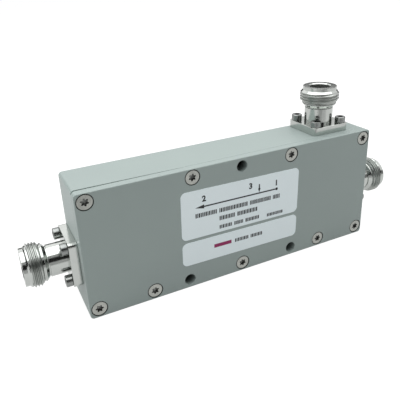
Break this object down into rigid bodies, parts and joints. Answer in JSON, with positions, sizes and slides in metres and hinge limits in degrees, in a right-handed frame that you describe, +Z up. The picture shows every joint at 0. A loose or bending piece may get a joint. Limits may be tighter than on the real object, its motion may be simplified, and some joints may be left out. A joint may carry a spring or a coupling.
{
  "type": "directional coupler",
  "caption": "Painted rectangular box with threaded coaxial jacks at both ends and one on top, which samples the signal that passes through.",
  "frame": {"origin": "on the surface that the body stands on, under the middle of the body", "axes": "+X along the body towards the input jack, +Y from the lid at the front to the plain back, +Z up through the coupled jack"},
  "size_m": [0.1618, 0.0231, 0.0672],
  "materials": {
    "body_paint": "satin grey-green paint on aluminium",
    "screw_steel": "plain stainless steel",
    "label_film": "pale printed film",
    "plated_brass": "bright white-bronze plating on brass",
    "white_insulator": "waxy white fluoropolymer",
    "gold_lead": "gold plating",
    "silvered_brass": "silver plating on brass",
    "alumina_chip": "fired white alumina"
  },
  "bodies": {
    "root": {"housing": "body_paint", "lid": "body_paint", "lid_screws": "screw_steel", "upper_label": "label_film", "lower_label": "label_film", "output_connector_body": "plated_brass", "output_insulator": "white_insulator", "output_contact": "silvered_brass", "output_flange_screws": "screw_steel", "input_connector_body": "plated_brass", "input_insulator": "white_insulator", "input_contact": "silvered_brass", "input_flange_screws": "screw_steel", "coupled_connector_body": "plated_brass", "coupled_insulator": "white_insulator", "coupled_contact": "silvered_brass", "coupled_flange_screws": "screw_steel", "main_line": "silvered_brass", "coupled_line": "silvered_brass", "left_line_support": "white_insulator", "right_line_support": "white_insulator", "load_flange": "plated_brass", "load_chip": "alumina_chip", "load_lead": "gold_lead", "load_screws": "screw_steel"}
  },
  "joints": []
}
